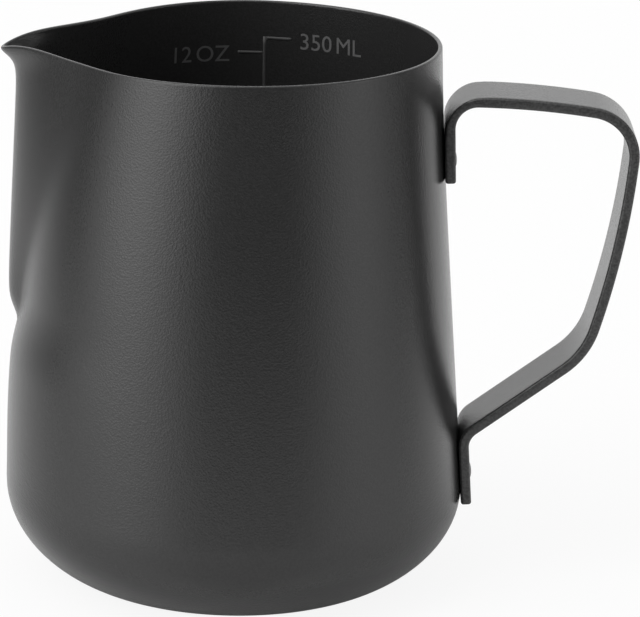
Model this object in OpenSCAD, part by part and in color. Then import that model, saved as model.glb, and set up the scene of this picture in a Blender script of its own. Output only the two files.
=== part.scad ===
// Milk frothing pitcher: a drawn steel shell with a pressed pouring spout,
// a strap handle bent from one flat bar, and the two welds that fix the
// handle to the wall.
// Real size in millimetres, +Z up.  The origin is on the shell's axis in the
// plane of the resting face.  The handle points to +X and the spout to -X.

/* [Shell] */
// Height from the resting face to the rim
body_h = 93; // [88:0.5:100]
// Outside radius of the mouth, away from the spout
mouth_r = 33.8; // [32:0.1:35]
// Outside radius of the belly
belly_r = 39.4; // [38:0.1:41]
// Outside radius of the flat base
base_r = 27; // [26:0.5:29]
// Height of the belly, where the rounded lower corner ends
corner_z = 16; // [14:0.5:18]
// Thickness of the sheet
wall_t = 0.8; // [0.6:0.05:1.2]
// How fast the wall opens just under the rim, in mm per mm of height
rim_slope = 0.04; // [0.03:0.002:0.05]
// Depth of the steeper collar below the rim
collar = 16; // [10:1:22]
// Radius of the shallow recess under the base
recess_r = 21; // [15:0.5:22]
// Depth of that recess
recess_depth = 0.8; // [0.4:0.1:1.2]

/* [Spout] */
// Height of the notch at the spout's lower end
notch_z = 43.5; // [38:0.5:48]
// Distance of the lip's tip from the axis
lip_reach = 40.6; // [39.5:0.1:42]
// Distance of the spout's front line from the axis, below the lip
front_reach = 37.7; // [37:0.1:38.5]
// Angle at the axis between the spout's middle and its crease, at the rim
spout_angle = 39; // [34:1:44]
// How far the mouth is pressed in at both sides of the spout
pinch = 4.4; // [3:0.2:5.4]
// Swelling of the wall below the notch
chin_depth = 1.45; // [0.8:0.05:1.8]
// How far the lip's tip dips below the rim
lip_dip = 2.1; // [1.4:0.1:3]

/* [Handle] */
// Width of the strap
strap_w = 12.8; // [10:0.2:14]
// Thickness of the strap
strap_t = 1.8; // [1.4:0.1:2.2]
// Rounding of the strap's long edges
strap_edge = 0.5; // [0.3:0.05:0.6]
// Depth of the upper tab's lower end below the rim
upper_tab_drop = 22.6; // [20:0.2:25]
// Length of the straight upper tab
upper_tab = 9.3; // [7:0.1:10]
// Lift of the upper tab in degrees, its upper end standing off the wall
upper_lift = 1.4; // [0:0.2:2]
// Centre-line length of the top bar
top_bar = 19.7; // [15:0.1:24]
// Height of the lower tab's lower end
lower_tab_z = 13; // [12.5:0.1:15]
// Length of the straight lower tab
lower_tab = 10.3; // [9.5:0.1:11]
// Lean of the lower tab, its lower end standing off the wall
lower_lean = 4.2; // [2:0.2:6]
// How far each tab's inner face is hollowed on its centre line to fit the wall
tab_hollow = 0.2; // [0.1:0.05:0.5]
// Centre-line radius of the bend above the upper tab
bend_a = 4.7; // [4:0.1:7]
// Centre-line radius of the bend between the top bar and the grip
bend_b = 7.9; // [6:0.1:10]
// Centre-line radius of the bend between the grip and the lower arm
bend_c = 14; // [9:0.5:15]
// Centre-line radius of the bend above the lower tab
bend_d = 3.8; // [3:0.2:6]

/* [Welds] */
// Diameter of a weld
weld_d = 3.2; // [2.6:0.1:4.4]
// Height of a weld's cap above the strap
weld_cap = 0.35; // [0.2:0.05:0.6]
// Depth to which a weld is fused into the wall
weld_bite = 0.3; // [0.1:0.05:0.4]
// Height of the upper weld above its tab's lower end
upper_weld_up = 2.7; // [2.3:0.1:5]
// Height of the lower weld above its tab's lower end
lower_weld_up = 4.2; // [3:0.1:5]

/* [Hidden] */

$fn = 72;
seat_gap = 0.03;          // clearance between a tab and the wall it seats on
run_reach = 0.05;         // how far the strap's long pieces enter its bends
run_inset = 0.004;        // how much slimmer they are, all round
top_turn = 8;             // the top bar's slow turn, degrees
grip_start = 94.6;          // the grip's direction at its top, degrees below +X
grip_turn = 11.6;          // the grip's slow turn
arm_fall = 143;         // the lower arm's direction, degrees below +X
coat_dark = [0.13, 0.13, 0.14];
coat_edge = [0.20, 0.20, 0.21];
weld_grey = [0.30, 0.30, 0.31];

// ---- the shell's outside, as a radius at an angle and a height -----------
// Angles are measured round the axis from the spout.

// A length that never falls below 0, with a rounded change-over.
function soft_positive(a, k) = (a + sqrt(a * a + k * k)) / 2;

// A bump of height 1 at angle 0 that ends at the given half width.
function lobe(angle, half) =
    abs(angle) < half ? pow(cos(90 * angle / half), 2) : 0;

// The wall goes down from the mouth to the belly: a steep collar, then a
// straight taper.
function taper(depth) = soft_positive(depth - collar, 9.5) - soft_positive(-collar, 9.5);
wall_h = body_h - corner_z;
function wall_r(z) =
    mouth_r + rim_slope * (body_h - z)
    + (belly_r - mouth_r - rim_slope * wall_h) * taper(body_h - z) / taper(wall_h);

// The whole side: the wall, and a superellipse round the lower corner.
function side_r(z) =
    z >= corner_z ? wall_r(z)
    : base_r + (wall_r(z) - base_r) * pow(1 - pow(1 - z / corner_z, 2), 0.75);

// Share of the way from the notch to the rim.
function rise(z) = max(0, (z - notch_z) / (body_h - notch_z));

// The wall beside the spout: swollen below the notch, pressed in at the rim.
chin_z = notch_z - 6.3;
function skin_r(angle, z) =
    side_r(z) + chin_depth * lobe(z - chin_z, z < chin_z ? 33 : 12.8) * lobe(angle, 70)
    - pinch * pow(rise(z), 2.4) * lobe(angle, 100);

// The spout's front line: it leans in towards the rim and falls away at the
// notch.
front_slope = 0.044;
function front_r(z) =
    let(under = notch_z + 3.5 - z)
    front_reach + front_slope * (body_h - z) - 0.32 * (under + sqrt(under * under + 4));

// Half of the angle that the spout takes at a height, crease to middle.
function spout_half(z) =
    let(share = (z - notch_z) / (body_h - notch_z))
    sqrt(pow(spout_angle * share * (1.1 - 0.1 * share), 2) + 55);

// The spout's cross-section from its middle (0) to its crease (1): a round
// front low down, a pointed one at the lip.
function crest(share, z) =
    let(tip = 0.07 + 0.63 * pow(1 - rise(z), 2),
        fall = 1 + 0.45 * pow(rise(z), 2),
        soft = 0.2 + 0.2 * pow(1 - rise(z), 2),
        run = (sqrt(share * share + tip * tip) - tip) / (sqrt(1 + tip * tip) - tip))
    pow(soft_positive(1 - run, soft) / soft_positive(1, soft), fall);

// The lip turns outward over its last few millimetres.
lip_depth = 3.4;
function lip_r(z) =
    (lip_reach - front_r(body_h)) / pow(1 + pow((body_h - z) / lip_depth, 2), 2);

function outside_r(angle, z) =
    let(part = crest(abs(angle) / spout_half(z), z))
    skin_r(angle, z) + soft_positive(front_r(z) - skin_r(0, z), 0.3) * part
    + lip_r(z) * pow(part, 3);

// How far the rim lies below its nominal height beside and at the lip.
rim_dip = 0.95;
fade_z = body_h - 13;
function dip(angle, z) =
    let(c = crest(abs(angle) / spout_half(body_h), body_h))
    z <= fade_z ? 0
    : pow((z - fade_z) / (body_h - fade_z), 2)
      * (rim_dip * lobe(angle, 100) * (1 - c) + lip_dip * pow(c, 5));

// A column of the shell's grid: columns -1 to 1 lie on the spout, and those
// up to -2 and 2 share the rest of the way round.
function column_angle(column, z) =
    abs(column) <= 1 ? column * spout_half(z)
    : sign(column) * (spout_half(z) + (abs(column) - 1) * (180 - spout_half(z)));

function outside(column, z) =
    let(angle = column_angle(column, z), r = outside_r(angle, z))
    [-r * cos(angle), -r * sin(angle), z - dip(angle, z)];

// The inside is the outside moved one sheet thickness along its normal.
function unit(v) = v / norm(v);
function inside(column, z) =
    let(d = 0.02,
        along = outside(column + d, z) - outside(column - d, z),
        up = outside(column, min(z + d, body_h)) - outside(column, max(z - d, 0)))
    outside(column, z) - wall_t * unit(cross(along, up));

spout_steps = 10;
round_steps = 26;
columns = concat(
    [for (i = [-round_steps : -1]) -1 + i / round_steps],
    [for (i = [-spout_steps : spout_steps - 1]) i / spout_steps],
    [for (i = [0 : round_steps - 1]) 1 + i / round_steps]);
heights = concat(
    [for (a = [0 : 13 : 78]) corner_z * (1 - cos(a))],
    [for (i = [0 : 4]) corner_z + (notch_z - corner_z) * i / 5],
    [for (i = [0 : 9]) notch_z + (fade_z + 4 - notch_z) * i / 10],
    [for (i = [0 : 6]) fade_z + 4 + 9 * (1 - pow(1 - i / 6, 1.5))]);

// A flat ring of the floor's inside, at a radius and a height.
function floor_ring(r, z) =
    [for (c = columns) let(a = column_angle(c, 0)) [-r * cos(a), -r * sin(a), z]];

module body_shell() {
    floor_t = wall_t + recess_depth;
    rings = concat(
        [for (z = heights) [for (c = columns) outside(c, z)]],
        [for (i = [len(heights) - 1 : -1 : 0]) [for (c = columns) inside(c, heights[i])]],
        [floor_ring(recess_r + 2.4, wall_t), floor_ring(recess_r + 1, floor_t)]);
    count = len(columns);
    last = len(rings) - 1;
    sides = [for (i = [0 : last - 1], j = [0 : count - 1])
        let(a = i * count + j,
            b = i * count + (j + 1) % count)
        each [[a, b + count, b], [a, a + count, b + count]]];
    caps = [[for (j = [0 : count - 1]) j],
            [for (j = [count - 1 : -1 : 0]) last * count + j]];
    color(coat_dark)
    difference() {
        polyhedron(points = [for (ring = rings) each ring], faces = concat(sides, caps));
        translate([0, 0, -1])
            cylinder(r = recess_r, h = 1 + recess_depth);
        at_weld(upper_weld_at, upper_lean)
            weld_hole(upper_weld_in);
        at_weld(lower_weld_at, lower_lean)
            weld_hole(lower_weld_in);
    }
}

// ---- the strap: a run of straight pieces and bends -----------------------
// A piece is [centre-line length, turn in degrees]; a turn of 0 is straight.

function bend(radius, turn) = [radius * abs(turn) * PI / 180, turn];
function aim(a) = [cos(a), sin(a)];

// Movement along one piece that starts in a direction.
function stride(piece, start) =
    piece[1] == 0 ? piece[0] * aim(start)
    : let(r = piece[0] * 180 / (PI * piece[1]))
      r * [sin(start + piece[1]) - sin(start), cos(start) - cos(start + piece[1])];

// The upper tab lies along the wall.
upper_z0 = body_h - upper_tab_drop;
upper_z1 = upper_z0 + upper_tab;
upper_lean = atan((side_r(upper_z0) - side_r(upper_z1)) / upper_tab) - upper_lift;
upper_start = [side_r(upper_z0) - tab_hollow, upper_z0] + strap_t / 2 * aim(upper_lean);
start_aim = 90 + upper_lean;

// The lower tab touches the wall at its upper end.
lower_z1 = lower_tab_z + lower_tab * cos(lower_lean);
lower_top = [side_r(lower_z1) - tab_hollow, lower_z1] + strap_t / 2 * aim(lower_lean);
lower_aim = -90 + lower_lean;

// The lengths of the grip and of the lower arm follow from the two tabs.
run_in = [[upper_tab, 0], bend(bend_a, -start_aim), [top_bar, -top_turn],
          bend(bend_b, top_turn - grip_start)];
bend_low = bend(bend_c, grip_start + grip_turn - arm_fall);
bend_tab = bend(bend_d, arm_fall + lower_aim);
grip_top = upper_start + stride(run_in[0], start_aim) + stride(run_in[1], start_aim)
    + stride(run_in[2], 0) + stride(run_in[3], -top_turn);
grip_low_aim = -grip_start - grip_turn;
to_close = lower_top - grip_top - stride(bend_low, grip_low_aim)
    - stride(bend_tab, -arm_fall);
grip_way = stride([1, -grip_turn], -grip_start);
arm_way = aim(-arm_fall);
det = grip_way[0] * arm_way[1] - grip_way[1] * arm_way[0];
grip_len = (to_close[0] * arm_way[1] - to_close[1] * arm_way[0]) / det;
arm_len = (grip_way[0] * to_close[1] - grip_way[1] * to_close[0]) / det;

strap_run = concat(run_in,
    [[grip_len, -grip_turn], bend_low, [arm_len, 0], bend_tab, [lower_tab, 0]]);

function start_of(i) =
    i == 0 ? upper_start : start_of(i - 1) + stride(strap_run[i - 1], aim_of(i - 1));
function aim_of(i) = i == 0 ? start_aim : aim_of(i - 1) + strap_run[i - 1][1];

// The strap's section, a flat bar with rounded edges.
module strap_section(inset) {
    half_t = strap_t / 2 - inset;
    half_w = strap_w / 2 - inset;
    square([2 * half_t, 2 * (half_w - strap_edge)], center = true);
    square([2 * (half_t - strap_edge), 2 * half_w], center = true);
    for (x = [-1, 1], y = [-1, 1])
        translate([x * (half_t - strap_edge), y * (half_w - strap_edge)])
            circle(r = strap_edge);
}

// One piece of the run.  A long piece is a hair slimmer than the bends at its
// two ends and reaches a little way into them, so that the run is one solid.
module strap_piece(piece, start, way, reach, inset) {
    if (piece[1] == 0)
        translate([start[0], 0, start[1]])
            rotate([0, 90 - way, 0])
                translate([0, 0, -reach[0]])
                    linear_extrude(height = piece[0] + reach[0] + reach[1])
                        strap_section(inset);
    else {
        side = sign(piece[1]);
        r = piece[0] * 180 / (PI * abs(piece[1]));
        grow = reach * 180 / (PI * r);
        centre = start + side * r * [-sin(way), cos(way)];
        translate([centre[0], 0, centre[1]])
            rotate([90, 0, 0])
                rotate([0, 0, side > 0 ? way - 90 - grow[0] : way + 90 + piece[1] - grow[1]])
                    rotate_extrude(angle = abs(piece[1]) + grow[0] + grow[1])
                        translate([r, 0])
                            strap_section(inset);
    }
}

// A weld's place: a point on the wall and the direction straight out of it.
upper_weld_at = upper_start - strap_t / 2 * aim(upper_lean) + upper_weld_up * aim(start_aim);
lower_weld_at = lower_top - strap_t / 2 * aim(lower_lean)
    + (lower_tab - lower_weld_up) * aim(lower_aim);

// How far each weld reaches in from its tab's face, to be fused into the wall.
upper_weld_in = max(0, upper_weld_at[0] - side_r(upper_weld_at[1])) + weld_bite;
lower_weld_in = max(0, lower_weld_at[0] - side_r(lower_weld_at[1])) + weld_bite;

module at_weld(place, lean) {
    translate([place[0], 0, place[1]])
        rotate([0, 90 - lean, 0])
            children();
}

// The hole that a weld fills in the strap and in the wall.
module weld_hole(depth) {
    translate([0, 0, -depth])
        cylinder(d = weld_d, h = depth + strap_t + 1);
}

// The space that the wall needs beside the tabs: the side and a clearance.
module wall_space() {
    rotate_extrude()
        polygon(concat([[0, lower_tab_z - 4]],
                       [for (i = [0 : 12])
                            let(z = lower_tab_z - 4 + i * (body_h - lower_tab_z) / 12)
                            [side_r(z) + seat_gap, z]],
                       [[0, body_h - 4]]));
}

module handle_strap() {
    last = len(strap_run) - 1;
    color(coat_edge)
    difference() {
        union() {
            for (i = [0 : 2 : last])
                strap_piece(strap_run[i], start_of(i), aim_of(i),
                            [i == 0 ? 0 : run_reach, i == last ? 0 : run_reach], run_inset);
            for (i = [1 : 2 : last])
                strap_piece(strap_run[i], start_of(i), aim_of(i), [0, 0], 0);
        }
        wall_space();
        at_weld(upper_weld_at, upper_lean)
            weld_hole(1);
        at_weld(lower_weld_at, lower_lean)
            weld_hole(1);
    }
}

// A weld fills its hole in the strap and in the wall and ends in a low domed
// cap.
module weld(depth) {
    dome_r = (pow(weld_d / 2, 2) + pow(weld_cap, 2)) / (2 * weld_cap);
    color(weld_grey)
    intersection() {
        translate([0, 0, -depth])
            cylinder(d = weld_d, h = depth + strap_t + 2 * weld_cap);
        translate([0, 0, strap_t + weld_cap - dome_r])
            sphere(r = dome_r);
    }
}

module upper_weld() {
    at_weld(upper_weld_at, upper_lean)
        weld(upper_weld_in);
}

module lower_weld() {
    at_weld(lower_weld_at, lower_lean)
        weld(lower_weld_in);
}

body_shell();
handle_strap();
upper_weld();
lower_weld();
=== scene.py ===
"""A milk frothing pitcher: a drawn steel shell with a pressed pouring spout, a strap handle bent
from one flat bar, the two welds that hold it, and the measuring scale on the inner wall.
Lengths in the shape functions are in millimetres; MM turns them into metres.
"""

import bmesh
import bpy
import numpy as np
from mathutils import Matrix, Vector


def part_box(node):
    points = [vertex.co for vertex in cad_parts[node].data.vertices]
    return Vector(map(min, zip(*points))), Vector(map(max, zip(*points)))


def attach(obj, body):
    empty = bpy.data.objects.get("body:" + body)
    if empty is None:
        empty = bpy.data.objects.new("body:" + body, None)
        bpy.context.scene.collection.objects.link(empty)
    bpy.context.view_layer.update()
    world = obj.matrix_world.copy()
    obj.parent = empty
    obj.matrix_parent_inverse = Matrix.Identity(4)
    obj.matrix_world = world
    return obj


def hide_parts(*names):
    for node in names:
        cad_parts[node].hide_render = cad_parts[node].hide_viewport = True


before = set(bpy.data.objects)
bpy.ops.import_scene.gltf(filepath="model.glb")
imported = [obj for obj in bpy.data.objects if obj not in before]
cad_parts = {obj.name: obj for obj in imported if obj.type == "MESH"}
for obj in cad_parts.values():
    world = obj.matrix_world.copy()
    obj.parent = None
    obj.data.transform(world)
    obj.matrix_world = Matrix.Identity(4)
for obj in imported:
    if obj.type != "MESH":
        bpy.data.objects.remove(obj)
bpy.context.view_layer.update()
MM = 0.001

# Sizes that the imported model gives.
shell_low, shell_high = (np.array(corner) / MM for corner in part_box("body_shell"))
strap_low, strap_high = (np.array(corner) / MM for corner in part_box("handle_strap"))
BODY_H = shell_high[2]
BELLY_R = shell_high[1]
LIP_REACH = -shell_low[0]
STRAP_W = strap_high[1] - strap_low[1]

# The shell's plain wall: its radii, its rounded lower corner, and the taper below the collar.
MOUTH_R = 33.8
BASE_R = 27.0
CORNER_Z = 16.0
CORNER_POWER = 0.75
WALL_T = 0.8
WALL_H = BODY_H - CORNER_Z
RIM_SLOPE = 0.04
COLLAR = 16.0
COLLAR_SOFT = 9.5

# The pressed step in the base, and half of the width over which it eases.
RECESS_R = 21.0
RECESS_DEPTH = 0.8
RECESS_EASE = 0.8

# The spout: its foot at the notch, its front line, and the angle that it takes.
NOTCH_Z = 43.5
NOTCH_SOFT = 0.3
FRONT_REACH = 37.7
FRONT_SLOPE = 0.044
FALL_ABOVE, FALL_RATE, FALL_SOFT = 3.5, 0.32, 2
SPOUT_ANGLE = 39.0
SPOUT_BOW = 0.1
NOTCH_HALF_SQUARED = 55
TIP_SHARP, TIP_BLUNT = 0.07, 0.63
CREST_FALL = 0.45
CREASE_SOFT = 0.2

# The wall around the spout: pinched beside it at the rim, and swollen below the notch.
PINCH, PINCH_ANGLE, PINCH_POWER = 4.4, 100, 2.4
CHIN_DEPTH, CHIN_ANGLE = 1.45, 70
CHIN_Z = NOTCH_Z - 6.3
CHIN_BELOW, CHIN_ABOVE = 33.0, 12.8

# The lip's turn and fall, and the rim's dip beside the spout, which fades in from FADE_Z up.
LIP_DEPTH = 3.4
LIP_DIP = 2.1
RIM_DIP = 0.95
FADE_Z = BODY_H - 13.0

# The strap: its section and rounded ends, its two tabs, its bends, and its two welds.
STRAP_T = 1.8
STRAP_EDGE = 0.5
STRAP_END = 0.45
SEAT_GAP = 0.03
TAB_HOLLOW = 0.2
UPPER_TAB_Z = BODY_H - 22.6
UPPER_TAB = 9.3
UPPER_LIFT = 1.4
LOWER_TAB_Z = 13.0
LOWER_TAB = 10.3
LOWER_LEAN = 4.2
TOP_BAR, TOP_TURN = 19.7, 8.0
GRIP_START, GRIP_TURN = 94.6, 11.6
ARM_FALL = 143.0
BEND_A, BEND_B, BEND_C, BEND_D = 4.7, 7.9, 14.0, 3.8
BEND_SLIM, SLIM_BEYOND = 0.45, 2.5
WELD_D, WELD_CAP, WELD_PLUG = 3.2, 0.35, 0.6
UPPER_WELD_UP, LOWER_WELD_UP = 2.7, 4.2


# ---- the shell's surface ---------------------------------------------------------------------

def soft_positive(a, k):
    """The larger of a and 0, with the corner rounded over a width k."""
    return (a + np.sqrt(a * a + k * k)) / 2


def lobe(angle, half):
    """A squared cosine of height 1 at angle 0 that reaches 0 at the half width, in degrees."""
    return np.where(np.abs(angle) < half, np.cos(np.radians(90 * angle / half)) ** 2, 0)


def taper(depth):
    """How far the wall has widened at a depth below the rim: slow in the collar, then straight."""
    return soft_positive(depth - COLLAR, COLLAR_SOFT) - soft_positive(-COLLAR, COLLAR_SOFT)


def side_radius(z):
    """Radius of the plain wall, and of the superellipse that rounds the lower corner."""
    wall = (MOUTH_R + RIM_SLOPE * (BODY_H - z)
            + (BELLY_R - MOUTH_R - RIM_SLOPE * WALL_H) * taper(BODY_H - z) / taper(WALL_H))
    low = np.clip(z / CORNER_Z, 0, 1)
    corner = BASE_R + (wall - BASE_R) * (1 - (1 - low) ** 2) ** CORNER_POWER
    return np.where(z >= CORNER_Z, wall, corner)


def rise(z):
    """Share of the way from the notch up to the rim."""
    return np.maximum(0, (z - NOTCH_Z) / (BODY_H - NOTCH_Z))


def skin_radius(angle, z):
    """The wall swollen in a lobe below the notch and pressed in beside the spout at the rim."""
    half = np.where(z < CHIN_Z, CHIN_BELOW, CHIN_ABOVE)
    return (side_radius(z) + CHIN_DEPTH * lobe(z - CHIN_Z, half) * lobe(angle, CHIN_ANGLE)
            - PINCH * rise(z) ** PINCH_POWER * lobe(angle, PINCH_ANGLE))


def front_radius(z):
    """The spout's front line: a straight lean, and a smooth fall to the wall at the notch."""
    under = NOTCH_Z + FALL_ABOVE - z
    fall = FALL_RATE * (under + np.sqrt(under * under + FALL_SOFT ** 2))
    return FRONT_REACH + FRONT_SLOPE * (BODY_H - z) - fall


def spout_half(z):
    """Half of the angle that the spout takes: a hyperbola, nearly straight above the notch."""
    share = (z - NOTCH_Z) / (BODY_H - NOTCH_Z)
    straight = SPOUT_ANGLE * share * (1 + SPOUT_BOW - SPOUT_BOW * share)
    return np.sqrt(straight ** 2 + NOTCH_HALF_SQUARED)


def crest(share, z):
    """The spout's cross-section from 1 at its middle to 0 at its crease: a hyperbola with a tip
    that sharpens towards the lip, cut off softly at the crease, and raised to a power that grows
    towards the lip."""
    tip = TIP_SHARP + TIP_BLUNT * (1 - rise(z)) ** 2
    fall = 1 + CREST_FALL * rise(z) ** 2
    run = (np.sqrt(share * share + tip * tip) - tip) / (np.sqrt(1 + tip * tip) - tip)
    soft = CREASE_SOFT + CREASE_SOFT * (1 - rise(z)) ** 2
    return (soft_positive(1 - run, soft) / soft_positive(1, soft)) ** fall


def lip_out(z):
    """The lip's outward turn: all of it at the rim, over a squared bell of the depth below it."""
    turn = LIP_REACH - front_radius(BODY_H)
    return turn / (1 + ((BODY_H - z) / LIP_DEPTH) ** 2) ** 2


def outside_radius(angle, z):
    """Wall, plus the spout's height above the wall carried on its cross-section, plus the lip's
    turn carried on that section's cube."""
    share = np.abs(angle) / spout_half(z)
    rim_z = np.minimum(z, BODY_H)
    height = soft_positive(front_radius(rim_z) - skin_radius(0 * angle, rim_z), NOTCH_SOFT)
    part = crest(share, rim_z)
    return skin_radius(angle, z) + height * part + lip_out(z) * part ** 3


def rim_fall(angle, z):
    """How far the wall is lowered towards the rim: a broad dip beside the spout, and the lip's
    own fall on the fifth power of its section, both growing as a square from FADE_Z up."""
    up = np.clip((z - FADE_Z) / (BODY_H - FADE_Z), 0, None) ** 2
    lip = crest(np.abs(angle) / spout_half(BODY_H), BODY_H)
    return up * (RIM_DIP * lobe(angle, PINCH_ANGLE) * (1 - lip) + LIP_DIP * lip ** 5)


def column_angle(column, z):
    """Columns -1 to 1 lie on the spout, and -2 to -1 and 1 to 2 share the rest of the way."""
    half = spout_half(z)
    rest = np.sign(column) * (half + (np.abs(column) - 1) * (180 - half))
    return np.where(np.abs(column) <= 1, column * half, rest)


def outside(column, z):
    """A point of the shell's outside, from its radius at a column's angle."""
    angle = column_angle(column, z)
    r = outside_radius(angle, z)
    turn = np.radians(angle)
    return np.stack([-r * np.cos(turn), -r * np.sin(turn), z - rim_fall(angle, z)], -1)


def unit(v):
    """Vectors divided by their length."""
    return v / np.linalg.norm(v, axis=-1, keepdims=True)


def outside_frame(column, z):
    """The outside's unit normal and its unit direction up the wall, from central differences."""
    d = 0.01
    up = outside(column, np.minimum(z + d, BODY_H)) - outside(column, np.maximum(z - d, 0))
    along = outside(column + d, z) - outside(column - d, z)
    return unit(np.cross(along, up)), unit(up)


# ---- turning grids into meshes ---------------------------------------------------------------

def add_mesh(name, points, faces, material, rides="root"):
    """A mesh object from points in millimetres and a list of faces."""
    mesh = bpy.data.meshes.new(name)
    mesh.from_pydata((np.asarray(points) * MM).tolist(), [], faces)
    mesh.update()
    mesh.shade_smooth()
    piece = bpy.data.objects.new(name, mesh)
    bpy.context.scene.collection.objects.link(piece)
    mesh.materials.append(material)
    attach(piece, rides)
    return piece


def tube_faces(rings, count):
    """Quads between rings of a closed grid, as a list of corner numbers. They face along the
    cross product of the way round a ring and the way on to the next ring."""
    i, j = np.meshgrid(np.arange(rings - 1), np.arange(count), indexing="ij")
    a, b = i * count + j, i * count + (j + 1) % count
    return np.stack([a, b, b + count, a + count], -1).reshape(-1, 4).tolist()


def pole_fan(pole, first, count, flip):
    """Triangles from one pole point to a ring."""
    j = np.arange(count)
    fan = np.stack([0 * j + pole, first + (j + 1) % count, first + j], -1)
    return (fan[:, ::-1] if flip else fan).tolist()


def closed_lathe(name, rings, low_pole, high_pole, material):
    """A closed surface from rings of points, with a pole at each end of the run."""
    rows, count = rings.shape[:2]
    points = np.concatenate([rings.reshape(-1, 3), [low_pole, high_pole]])
    last = (rows - 1) * count
    faces = (tube_faces(rows, count) + pole_fan(rows * count, 0, count, False)
             + pole_fan(rows * count + 1, last, count, True))
    return add_mesh(name, points, faces, material)


def ease(a):
    """A smooth step from 0 to 1."""
    a = np.clip(a, 0, 1)
    return a * a * (3 - 2 * a)


def recess(r, edge):
    """The base's pressed step: its full depth inside the edge radius, nothing outside, eased."""
    return RECESS_DEPTH * ease((edge + RECESS_EASE - r) / (2 * RECESS_EASE))


def shell_rings():
    """The run of rings over the whole shell: underside, outside, rounded rim, inside and floor.
    The inside is the outside moved in by the sheet's thickness along its normal."""
    spout = np.linspace(0, 1, 45)
    around = np.linspace(0, 1, 111)
    column = np.concatenate(
        [-1 - around[:0:-1], -spout[::-1], spout[1:], 1 + around[1:-1]])[None]
    edge = WALL_T / 2
    corner = CORNER_Z * (1 - np.cos(np.radians(np.linspace(0, 84, 22))))
    wall = np.linspace(CORNER_Z, NOTCH_Z - 2, 26)
    top_z = FADE_Z + 4
    front = np.linspace(NOTCH_Z - 1, top_z, 44)
    top = top_z + (BODY_H - edge - FADE_Z - 4) * (1 - (1 - np.linspace(0, 1, 20)) ** 1.4)
    z = np.concatenate([corner, wall, front, top[1:]])[:, None]
    out, (normal, up) = outside(column, z), outside_frame(column, z)
    inside = out - WALL_T * normal

    turn = np.radians(column_angle(column, 0 * column))
    disc = np.stack([-np.cos(turn), -np.sin(turn), 0 * turn], -1)
    r = np.concatenate([np.linspace(2, RECESS_R - 1.4, 7),
                        np.linspace(RECESS_R - RECESS_EASE, RECESS_R + RECESS_EASE, 9),
                        np.linspace(RECESS_R + 1.6, BASE_R - 0.6, 6)])[:, None, None]
    lift = np.array([0, 0, 1.0])
    under = disc * r + lift * recess(r, RECESS_R)
    floor = disc * r + lift * (WALL_T + recess(r, RECESS_R + WALL_T))

    # The sheet's edge is a superellipse across its thickness.
    t = np.linspace(0, np.pi, 11)[1:-1, None, None]
    across, over = np.cos(t), np.sin(t)
    middle = (out[-1] - edge * normal[-1])[None]
    rim = middle + edge * (np.sign(across) * np.abs(across) ** 0.75 * normal[-1]
                           + np.abs(over) ** 0.75 * up[-1])
    return np.concatenate([under, out, rim, inside[::-1], floor[::-1]])


# ---- the strap -------------------------------------------------------------------------------

def aim(a):
    """Unit vectors in the XZ plane at an angle in degrees above +X."""
    a = np.radians(a)
    return np.stack([np.cos(a), np.sin(a)], -1)


def stride(piece, start, share=1.0):
    """Movement along a share of a piece [length, turn], straight or along its arc."""
    length, turn = piece
    if turn == 0:
        return np.multiply.outer(length * share, aim(start))
    r = np.degrees(length / turn)
    a = np.radians(start + turn * np.asarray(share))
    b = np.radians(start)
    return r * np.stack([np.sin(a) - np.sin(b), np.cos(b) - np.cos(a)], -1)


def bend(radius, turn):
    """A bend as [arc length, turn in degrees]."""
    return [radius * np.radians(abs(turn)), turn]


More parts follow.
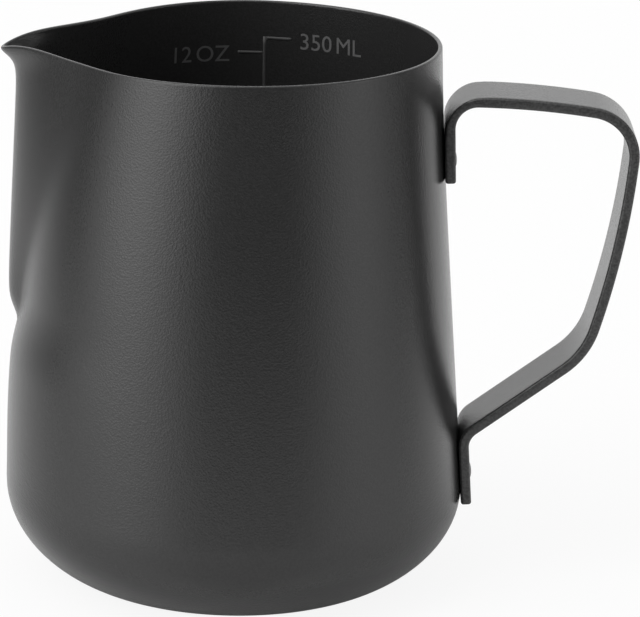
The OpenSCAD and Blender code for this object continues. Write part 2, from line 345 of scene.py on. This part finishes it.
def strap_path():
    """The strap's centre line as a run of straights and arcs. The lengths of the grip and of the
    lower arm close the run between the two tabs, from two linear equations. The first bend is
    drawn slimmer along a squared cosine of the length from its middle."""
    low, high = side_radius(UPPER_TAB_Z), side_radius(UPPER_TAB_Z + UPPER_TAB)
    lean = np.degrees(np.arctan((low - high) / UPPER_TAB)) - UPPER_LIFT
    place = np.array([low - TAB_HOLLOW, UPPER_TAB_Z]) + STRAP_T / 2 * aim(lean)
    way = 90 + lean
    tab_top = LOWER_TAB_Z + LOWER_TAB * np.cos(np.radians(LOWER_LEAN))
    lower = np.array([side_radius(tab_top) - TAB_HOLLOW, tab_top]) + STRAP_T / 2 * aim(LOWER_LEAN)
    first = [[UPPER_TAB, 0], bend(BEND_A, -way), [TOP_BAR, -TOP_TURN],
             bend(BEND_B, TOP_TURN - GRIP_START)]
    knee = bend(BEND_C, GRIP_START + GRIP_TURN - ARM_FALL)
    heel = bend(BEND_D, ARM_FALL - 90 + LOWER_LEAN)
    at, toward = place, way
    for piece in first:
        at, toward = at + stride(piece, toward), toward + piece[1]
    gap = lower - at - stride(knee, -GRIP_START - GRIP_TURN) - stride(heel, -ARM_FALL)
    grip, arm = np.linalg.solve(
        np.stack([stride([1, -GRIP_TURN], -GRIP_START), aim(-ARM_FALL)], 1), gap)
    run = first + [[grip, -GRIP_TURN], knee, [arm, 0], heel, [LOWER_TAB, 0]]
    centre, angle, length = [], [], []
    at, toward, gone = place, way, 0
    for index, piece in enumerate(run):
        share = np.linspace(0, 1, 13 + int(abs(piece[1]) / 2.5))[0 if index == 0 else 1:]
        centre.append(at + stride(piece, toward, share))
        angle.append(toward + piece[1] * share)
        length.append(gone + piece[0] * share)
        at, toward, gone = at + stride(piece, toward), toward + piece[1], gone + piece[0]
    centre, angle, length = np.concatenate(centre), np.concatenate(angle), np.concatenate(length)
    reach = run[1][0] / 2 + SLIM_BEYOND
    apart = np.clip(np.abs(length - run[0][0] - run[1][0] / 2) / reach, 0, 1)
    slim = BEND_SLIM * np.cos(np.pi / 2 * apart) ** 2
    welds = {"upper_weld": (place - STRAP_T / 2 * aim(lean) + UPPER_WELD_UP * aim(way), lean),
             "lower_weld": (lower - STRAP_T / 2 * aim(LOWER_LEAN)
                            + (LOWER_TAB - LOWER_WELD_UP) * aim(-90 + LOWER_LEAN), LOWER_LEAN)}
    return centre, angle, slim, welds


def strap_section(inset):
    """The flat bar's section for an array of insets: a rectangle whose corners are arcs, with
    points spread over its two broad faces."""
    inset = np.asarray(inset, float)[:, None]
    half_t, half_w = STRAP_T / 2 - inset, STRAP_W / 2 - inset
    r = np.maximum(STRAP_EDGE - inset, 0.02)
    a = np.radians(np.linspace(0, 90, 8))[None]
    spread = np.linspace(1, -1, 16)[None, 1:-1]
    flat = half_w - r
    right = [(half_t - r + r * np.cos(a), flat + r * np.sin(a)),
             (-(half_t - r) - r * np.sin(a), flat + r * np.cos(a))]
    across = [np.concatenate([right[0][0], right[1][0], -half_t + 0 * spread,
                              -right[0][0], -right[1][0], half_t + 0 * spread], 1),
              np.concatenate([right[0][1], right[1][1], flat * spread,
                              -right[0][1], -right[1][1], -flat * spread], 1)]
    return np.stack(across, -1)


def strap_rings(centre, angle, slim):
    """The section carried along the centre line. Both ends are rounded over by drawing the
    section in along a quarter circle, and the tabs' inner faces are hollowed to the wall."""
    t = np.radians(np.linspace(0, 90, 7))
    back = STRAP_END * (1 - np.sin(t))[:, None]
    draw = STRAP_END * (1 - np.cos(t))
    start = centre[0] + back * aim(angle[0])
    end = centre[-1] - back * aim(angle[-1])
    centre = np.concatenate([start[::-1], centre[2:-2], end])
    angle = np.concatenate([0 * t + angle[0], angle[2:-2], 0 * t + angle[-1]])
    inset = np.concatenate([draw[::-1], 0 * angle[len(t):-len(t)], draw])
    section = strap_section(inset)
    slim = np.concatenate([0 * t, slim[2:-2], 0 * t])[:, None]
    lift = section[..., 0] + slim * np.clip(-section[..., 0] / STRAP_T * 2, 0, 1)
    out = aim(angle - 90)
    xz = centre[:, None] + lift[..., None] * out[:, None]
    x, y, z = xz[..., 0], section[..., 1], xz[..., 1]
    wall = np.sqrt((side_radius(z) + SEAT_GAP) ** 2 - y ** 2)
    return np.stack([np.maximum(x, wall), y, z], -1)


def weld_rings(place, lean):
    """A weld's button: a low dome on a power of the radius, turned about the weld's axis and
    slightly out of round, then straight down to a plug inside the strap."""
    r = WELD_D / 2 * np.concatenate([np.linspace(0.1, 1, 16), [1.0, 0.5]])
    share = np.clip(r / (WELD_D / 2), 0, 1)
    height = STRAP_T + WELD_CAP * (1 - share ** 2.4)
    height[-2:] = STRAP_T - WELD_PLUG
    turn = np.radians(np.arange(0, 360, 6))
    wave = 1 + 0.02 * np.sin(3 * turn + 1) + 0.015 * np.sin(5 * turn)
    u = r[:, None] * np.cos(turn) * wave
    v = r[:, None] * np.sin(turn) * wave
    out, up = aim(lean), aim(lean + 90)
    xz = place + height[:, None, None] * out + u[..., None] * up
    return np.stack([xz[..., 0], v, xz[..., 1]], -1)


# ---- the measuring scale ---------------------------------------------------------------------
SCALE_AT = 84.45     # where the scale's upright stands, degrees from +X towards +Y
SCALE_R = 33.0       # radius that turns an arc length on the wall into an angle
SCALE_FOOT = 24      # height at which the upright starts
LINE_W = 0.58
TEXT_H = 2.95
TEXT_DROP = 0.18     # how far the words' middle lies below their tick's
CAP_SHARE = 0.7      # height of a capital as a share of the typeface's size
MARK_T = 0.02        # how far the print lies in the wall, and how far proud of it
SEAM = 1e-7          # vertices of the lettering nearer than this are one, in metres
SHARP = np.radians(35)   # its edges that turn more than this stay sharp


def on_inner_wall(s, z, proud=0.0):
    """The inner wall's point at an arc length s to the right of the scale's upright and at a
    height z, from the outside moved one sheet thickness inwards along its normal."""
    angle = SCALE_AT - 180 - np.degrees(s / SCALE_R)

    def skin(a, h):
        r = outside_radius(a, h)
        return np.stack([-r * np.cos(np.radians(a)), -r * np.sin(np.radians(a)), h], -1)
    d = 0.02
    along = skin(angle + d, z) - skin(angle - d, z)
    normal = unit(np.cross(along, skin(angle, z + d) - skin(angle, z - d)))
    outward = np.sign(np.sum(normal * skin(angle, 0 * z), -1, keepdims=True))
    return skin(angle, z) - (WALL_T + proud) * outward * normal


def bar_points(s0, s1, z0, z1):
    """A printed bar as a closed skin: a grid just inside the wall, and one just proud of it."""
    s = np.linspace(s0, s1, max(2, int(abs(s1 - s0) / 0.4) + 1))
    z = np.linspace(z0, z1, max(2, int(abs(z1 - z0) / 1.5) + 1))
    s, z = np.meshgrid(s, z, indexing="ij")
    return np.stack([on_inner_wall(s, z, -MARK_T), on_inner_wall(s, z, MARK_T)])


def slab_faces(rows, columns, first):
    """Faces of a closed slab: its two grids, and its four edges."""
    size = rows * columns
    i, j = np.meshgrid(np.arange(rows - 1), np.arange(columns - 1), indexing="ij")
    a = first + i * columns + j
    low = np.stack([a, a + 1, a + columns + 1, a + columns], -1).reshape(-1, 4)
    high = low[:, ::-1] + size
    loop = first + np.concatenate([
        np.arange(columns - 1), np.arange(rows - 1) * columns + columns - 1,
        (rows - 1) * columns + np.arange(columns - 1, 0, -1),
        np.arange(rows - 1, 0, -1) * columns])
    nxt = np.roll(loop, -1)
    side = np.stack([loop, loop + size, nxt + size, nxt], -1)
    return np.concatenate([low, high, side]).tolist()


def add_scale_bars(name, bars, material):
    """The scale's upright and ticks, joined in one piece."""
    points, faces, first = [], [], 0
    for bar in bars:
        grid = bar_points(*bar)
        faces += slab_faces(grid.shape[1], grid.shape[2], first)
        points.append(grid.reshape(-1, 3))
        first += points[-1].shape[0]
    return add_mesh(name, np.concatenate(points), faces, material)


def close_seams(mesh):
    """Joins the vertices that lie on each other, and keeps the edges between faces sharp."""
    joined = bmesh.new()
    joined.from_mesh(mesh)
    bmesh.ops.remove_doubles(joined, verts=joined.verts, dist=SEAM)
    joined.to_mesh(mesh)
    joined.free()
    mesh.set_sharp_from_angle(angle=SHARP)


def add_scale_text(name, words, s, z, align, material):
    """Plain lettering on the inner wall: flat text made a mesh, then wrapped by arc length."""
    curve = bpy.data.curves.new(name, "FONT")
    curve.body = words
    curve.align_x = align
    curve.size = TEXT_H / CAP_SHARE
    curve.space_word = 0.5
    curve.extrude = 0.01
    curve.resolution_u = 4
    flat = bpy.data.objects.new(name + "_flat", curve)
    mesh = bpy.data.meshes.new_from_object(flat)
    bpy.data.objects.remove(flat)
    mesh.name = name
    at = np.zeros(len(mesh.vertices) * 3, np.float32)
    mesh.vertices.foreach_get("co", at)
    at = at.reshape(-1, 3).astype(float)
    proud = np.where(at[:, 2] > 0, MARK_T, -MARK_T)[:, None]
    wrapped = on_inner_wall(s + at[:, 0], z + at[:, 1], proud) * MM
    mesh.vertices.foreach_set("co", wrapped.astype(np.float32).ravel())
    close_seams(mesh)
    piece = bpy.data.objects.new(name, mesh)
    bpy.context.scene.collection.objects.link(piece)
    mesh.materials.clear()
    mesh.materials.append(material)
    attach(piece, "root")
    return piece


# ---- materials -------------------------------------------------------------------------------
GLOSS_DRIFT = 0.03   # how far the coat's roughness drifts either way
BUMP_H = 0.0001      # height of the coat's bumps in metres


def new_material(name):
    """An empty node material, its tree and its Principled shader."""
    material = bpy.data.materials.new(name)
    material.use_nodes = True
    tree = material.node_tree
    return material, tree, tree.nodes["Principled BSDF"]


def add_node(tree, kind, **inputs):
    """A node with its input sockets set, or linked where a value is another node's socket."""
    node = tree.nodes.new(kind)
    for key, value in inputs.items():
        socket = node.inputs[key.replace("_", " ")]
        if isinstance(value, bpy.types.NodeSocket):
            tree.links.new(value, socket)
        else:
            socket.default_value = value
    return node


def math_node(tree, kind, a, b=0.0, c=0.0):
    """One operation on up to three numbers or sockets, as its output socket."""
    node = tree.nodes.new("ShaderNodeMath")
    node.operation = kind
    for socket, value in zip(node.inputs, (a, b, c)):
        if isinstance(value, bpy.types.NodeSocket):
            tree.links.new(value, socket)
        else:
            socket.default_value = value
    return node.outputs[0]


def smooth_step(tree, value, start, end, low=0.0, high=1.0):
    """A smooth step from low to high as the value goes from start to end."""
    node = add_node(tree, "ShaderNodeMapRange", Value=value, From_Min=start, From_Max=end,
                    To_Min=low, To_Max=high)
    node.interpolation_type = "SMOOTHSTEP"
    return node.outputs["Result"]


def mix_shaders(tree, share, first, second):
    """A node that mixes two shaders, with the given share of the second."""
    mix = add_node(tree, "ShaderNodeMixShader", Fac=share)
    tree.links.new(first.outputs[0], mix.inputs[1])
    tree.links.new(second.outputs[0], mix.inputs[2])
    return mix


def object_place(tree):
    """The object's own coordinates."""
    return tree.nodes.new("ShaderNodeTexCoord").outputs["Object"]


def noise(tree, scale, detail, roughness):
    """A noise over the object's own coordinates, as its output socket."""
    node = add_node(tree, "ShaderNodeTexNoise", Vector=object_place(tree), Scale=scale,
                    Detail=detail, Roughness=roughness)
    return node.outputs["Fac"]


def grey_mix(tree, share, dark, light):
    """A grey between two levels, as its output socket."""
    mix = add_node(tree, "ShaderNodeMix", Factor=share)
    mix.data_type = "RGBA"
    mix.inputs["A"].default_value = (*[dark] * 3, 1)
    mix.inputs["B"].default_value = (*[light] * 3, 1)
    return mix.outputs["Result"]


def black_coat(name, dark, light, rough, grain=1.0):
    """Satin black coating on steel. Its colour is a fine speckle between two levels, its gloss
    drifts in slow clouds, and its bump is a weak orange peel under round grains a third of a
    millimetre across. The grain scales the two bumps."""
    material, tree, shader = new_material(name)
    speckle = add_node(tree, "ShaderNodeMapRange", Value=noise(tree, 2600.0, 1.0, 0.4),
                       From_Min=0.36, From_Max=0.64)
    colour = grey_mix(tree, speckle.outputs["Result"], dark, light)
    tree.links.new(colour, shader.inputs["Base Color"])
    gloss = add_node(tree, "ShaderNodeMapRange", Value=noise(tree, 38.0, 3.0, 0.5),
                     To_Min=rough - GLOSS_DRIFT, To_Max=rough + GLOSS_DRIFT)
    tree.links.new(gloss.outputs["Result"], shader.inputs["Roughness"])
    peel = add_node(tree, "ShaderNodeBump", Height=noise(tree, 1600.0, 2.0, 0.5),
                    Strength=0.12 * grain, Distance=BUMP_H)
    grit = add_node(tree, "ShaderNodeTexVoronoi", Vector=object_place(tree), Scale=3000.0)
    fine = add_node(tree, "ShaderNodeBump", Height=grit.outputs["Distance"],
                    Normal=peel.outputs["Normal"], Strength=0.26 * grain, Distance=BUMP_H)
    tree.links.new(fine.outputs["Normal"], shader.inputs["Normal"])
    shader.inputs["Specular IOR Level"].default_value = 0.5
    return material


def scale_print(name, level):
    """The scale's grey print: matt, and patchy by a fifth of its level either way."""
    material, tree, shader = new_material(name)
    colour = grey_mix(tree, noise(tree, 1800.0, 3.0, 0.6), level * 0.8, level * 1.2)
    tree.links.new(colour, shader.inputs["Base Color"])
    shader.inputs["Roughness"].default_value = 0.6
    return material


# ---- the object ------------------------------------------------------------------------------
shell_coat = black_coat("satin_black_shell", 0.0205, 0.025, 0.246)
# The strap and welds carry the same satin black as the shell; their lighter grey levels are
# painted light, a lit copy of the shell's coat that brightens them.
strap_coat_painted_lighter = black_coat("satin_black_strap", 0.033, 0.055, 0.246, 1.2)
weld_coat_painted_lighter = black_coat("satin_black_weld", 0.033, 0.055, 0.276, 1.4)

under_pole, floor_pole = [0, 0, RECESS_DEPTH], [0, 0, WALL_T + RECESS_DEPTH]
shell = closed_lathe("pitcher_shell", shell_rings(), under_pole, floor_pole, shell_coat)
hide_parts("body_shell")

centre, angle, slim, welds = strap_path()
bars = strap_rings(centre, angle, slim)
ends = [[p[0], 0, p[1]] for p in (centre[0], centre[-1])]
strap = closed_lathe("handle_strap_bent", bars, *ends, strap_coat_painted_lighter)
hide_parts("handle_strap")

for name, (place, lean) in welds.items():
    button = weld_rings(place, lean)
    top, foot = (np.mean(button[k], 0) for k in (0, -1))
    cap = closed_lathe(name + "_button", button, top, foot, weld_coat_painted_lighter)
    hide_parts(name)

# The upright, and a tick and its words on each side of it.
ml_350, oz_12 = BODY_H - 6.8, BODY_H - 9.5
half_line = LINE_W / 2
add_scale_bars("scale_lines", [
    (-half_line, half_line, SCALE_FOOT, ml_350 + half_line),
    (half_line, 4.8, ml_350 - half_line, ml_350 + half_line),
    (-4.7, -half_line, oz_12 - half_line, oz_12 + half_line)],
    scale_print("grey_print_lines", 0.045))
for name, words, s, z, align, level in (
        ("scale_ml_350", "350 ML", 6.2, ml_350, "LEFT", 0.115),
        ("scale_oz_12", "12 OZ", -6.15, oz_12, "RIGHT", 0.075)):
    ink = scale_print("grey_print_" + name, level)
    add_scale_text(name, words, s, z - TEXT_H / 2 - TEXT_DROP, align, ink)

# ---- the stage, the light and the camera -----------------------------------------------------
scene = bpy.context.scene
scene.view_settings.view_transform = "Standard"


# The room's brightness in front, behind and above, the azimuth that its front faces, and how it
# changes from front to back over the azimuth and from around to above over the height.
FRONT_LEVEL, BACK_LEVEL, TOP_LEVEL = 0.005, 0.98, 0.77
FRONT_AT = -3.2
BACK_FROM, BACK_ALL = 96.5, 163
TOP_FROM, TOP_ALL = 17.5, 43
# Each panel's azimuth, reach, height at which it starts to fade, fade, and added brightness; the
# share of it that shows below the horizon, and the height where that share is reached.
PANELS = [(-58.3, 46.9, 64, 94, 3.2), (68.5, 41.4, 10.9, 12.9, 1.79)]
LOW_SHARE, LOW_FROM = 0.62, -6
# The floor as glossy rays see it: the middle of its pale pool, how far from there it begins and
# ends to clear, and its own white, which comes in between two distances from the object's axis.
POOL_AT = (-0.01, 0.1, 0)
FLOOR_NEAR, FLOOR_FAR = 0.02, 0.666
FLOOR_SHINE, SHINE_NEAR, SHINE_FAR = 1.0, 0.03, 0.13
# The share of even white in the floor as the camera sees it; the rest is lit and takes shadows.
FLOOR_WHITE = 0.9
FLOOR_HALF = 6


def pale_floor():
    """A plain pale floor that a camera sees nearly white, with the object's soft shadow on it.
    Glossy rays see it just as pale beside the object, and further off more and more through it,
    on a smooth step of the distance from the pool's middle, into the room."""
    material, tree, shader = new_material("pale_floor")
    shader.inputs["Base Color"].default_value = (0.85, 0.85, 0.85, 1)
    shader.inputs["Roughness"].default_value = 0.9
    glow = add_node(tree, "ShaderNodeEmission", Color=(1, 1, 1, 1), Strength=1.0)
    clear = tree.nodes.new("ShaderNodeBsdfTransparent")
    path = tree.nodes.new("ShaderNodeLightPath")
    camera_ray, glossy_ray = path.outputs["Is Camera Ray"], path.outputs["Is Glossy Ray"]
    place = object_place(tree)
    off_axis = add_node(tree, "ShaderNodeVectorMath", Vector=place)
    off_axis.operation = "LENGTH"
    off_pool = add_node(tree, "ShaderNodeVectorMath", Vector=place)
    off_pool.operation = "DISTANCE"
    off_pool.inputs[1].default_value = POOL_AT
    white = smooth_step(tree, off_axis.outputs["Value"], SHINE_NEAR, SHINE_FAR, 0, FLOOR_SHINE)
    seen = math_node(tree, "MULTIPLY", camera_ray, FLOOR_WHITE)
    shine = math_node(tree, "MULTIPLY_ADD", glossy_ray, white, seen)
    lit = mix_shaders(tree, shine, shader, glow)
    cleared = smooth_step(tree, off_pool.outputs["Value"], FLOOR_NEAR, FLOOR_FAR)
    through = math_node(tree, "MULTIPLY", cleared, glossy_ray)
    mix = mix_shaders(tree, through, lit, clear)
    tree.links.new(mix.outputs[0], tree.nodes["Material Output"].inputs["Surface"])
    h = FLOOR_HALF
    mesh = bpy.data.meshes.new("floor")
    mesh.from_pydata([(-h, -h, 0), (h, -h, 0), (h, h, 0), (-h, h, 0)], [], [(0, 1, 2, 3)])
    mesh.materials.append(material)
    floor = bpy.data.objects.new("floor", mesh)
    scene.collection.objects.link(floor)


def soft_room():
    """A soft studio as a brightness by direction, which a camera sees as even white. It is dark
    on the camera's side and white behind the object. A tall soft panel stands to the camera's
    left and a low one to its right: each is a smooth hill over azimuth, times a smooth step
    down with height. Azimuth is 0 on the camera's side and grows to the right, in degrees."""
    world = bpy.data.worlds.new("soft_room")
    world.use_nodes = True
    scene.world = world
    tree = world.node_tree
    tree.nodes.clear()

    def calc(kind, *numbers):
        return math_node(tree, kind, *numbers)

    direction = tree.nodes.new("ShaderNodeTexCoord").outputs["Generated"]
    way = add_node(tree, "ShaderNodeSeparateXYZ", Vector=direction)
    towards = calc("MULTIPLY", way.outputs["Y"], -1.0)
    azimuth = calc("DEGREES", calc("ARCTAN2", way.outputs["X"], towards))
    height = calc("DEGREES", calc("ARCSINE", way.outputs["Z"]))
    aside = calc("ABSOLUTE", calc("SUBTRACT", azimuth, FRONT_AT))
    around = smooth_step(tree, aside, BACK_FROM, BACK_ALL, FRONT_LEVEL, BACK_LEVEL)
    above = smooth_step(tree, height, TOP_FROM, TOP_ALL)
    level = calc("MULTIPLY_ADD", calc("SUBTRACT", TOP_LEVEL, around), above, around)
    low = smooth_step(tree, height, LOW_FROM, 0, LOW_SHARE, 1)
    for middle, reach, top, fade, strength in PANELS:
        off = calc("ABSOLUTE", calc("SUBTRACT", azimuth, middle))
        hill = smooth_step(tree, off, 0, reach, strength, 0)
        lit = calc("MULTIPLY", low, smooth_step(tree, height, top, top + fade, 1, 0))
        level = calc("MULTIPLY_ADD", hill, lit, level)
    room = add_node(tree, "ShaderNodeBackground", Color=(1, 1, 1, 1), Strength=level)
    white = add_node(tree, "ShaderNodeBackground", Color=(1, 1, 1, 1), Strength=1.0)
    path = tree.nodes.new("ShaderNodeLightPath")
    mix = mix_shaders(tree, path.outputs["Is Camera Ray"], room, white)
    out = tree.nodes.new("ShaderNodeOutputWorld")
    tree.links.new(mix.outputs[0], out.inputs["Surface"])


pale_floor()
soft_room()

# The camera: 0.6 m away, 16.9 degrees above the horizon, turned by 1.3 degrees about its axis.
PITCH, ROLL, DISTANCE = np.radians(16.894), np.radians(1.29), 0.6016
TARGET = np.array([14.163, 0, 46.138]) * MM
forward = np.array([0, np.cos(PITCH), -np.sin(PITCH)])
level_up = np.array([0, np.sin(PITCH), np.cos(PITCH)])
right = np.cos(ROLL) * np.array([1, 0, 0]) + np.sin(ROLL) * level_up
up = np.cos(ROLL) * level_up - np.sin(ROLL) * np.array([1, 0, 0])
lens = bpy.data.cameras.new("camera")
lens.lens = 196.44
lens.sensor_width = 36
lens.clip_end = 50
camera = bpy.data.objects.new("camera", lens)
camera.matrix_world = (Matrix.Translation(TARGET - DISTANCE * forward)
                       @ Matrix(np.stack([right, up, -forward], 1).tolist()).to_4x4())
scene.collection.objects.link(camera)
scene.camera = camera
